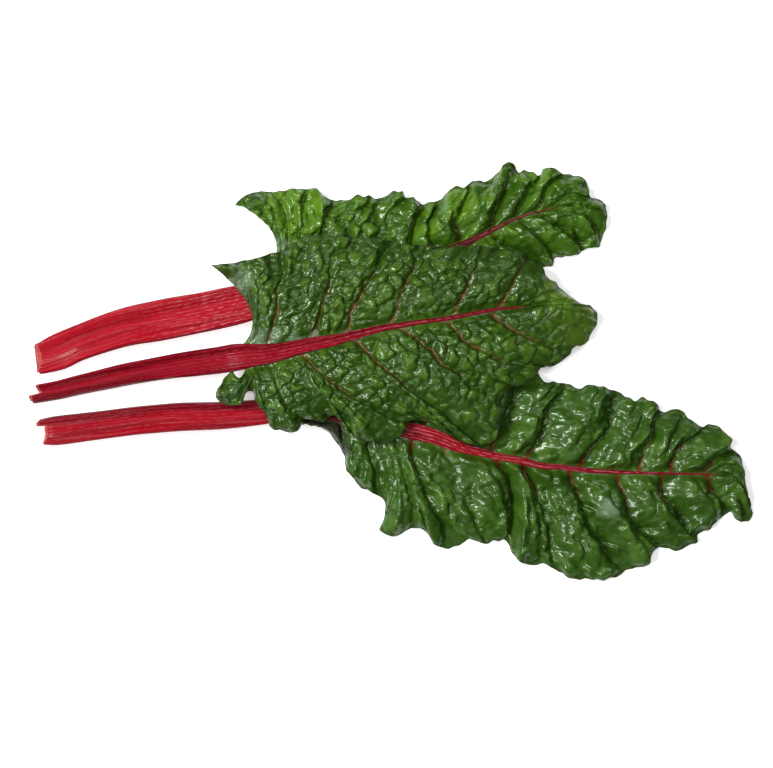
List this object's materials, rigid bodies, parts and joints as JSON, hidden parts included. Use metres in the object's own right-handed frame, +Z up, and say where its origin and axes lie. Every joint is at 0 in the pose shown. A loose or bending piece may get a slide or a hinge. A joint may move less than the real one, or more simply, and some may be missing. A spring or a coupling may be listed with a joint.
{
  "type": "swiss chard bunch",
  "caption": "Bunch of red-stemmed chard leaves with crinkled blades, lying flat as picked, for a kitchen, market or still life scene.",
  "frame": {"origin": "middle of the bunch's footprint, on the surface it lies on", "axes": "+X from the cut stalks to the leaf tips, +Y across the leaves, +Z up from the surface"},
  "size_m": [0.4325, 0.2495, 0.0223],
  "materials": {
    "upper_stalk": "wet pinkish red leaf stalk",
    "upper_blade": "crinkled glossy light green leaf",
    "middle_stalk": "wet deep red leaf stalk",
    "middle_blade": "finely blistered glossy dark green leaf",
    "lower_stalk": "wet red leaf stalk",
    "lower_blade": "crinkled glossy green leaf"
  },
  "bodies": {
    "root": {"upper_leaf_stalk": "upper_stalk", "upper_leaf_blade": "upper_blade", "middle_leaf_stalk": "middle_stalk", "middle_leaf_blade": "middle_blade", "lower_leaf_stalk": "lower_stalk", "lower_leaf_blade": "lower_blade"}
  },
  "joints": []
}
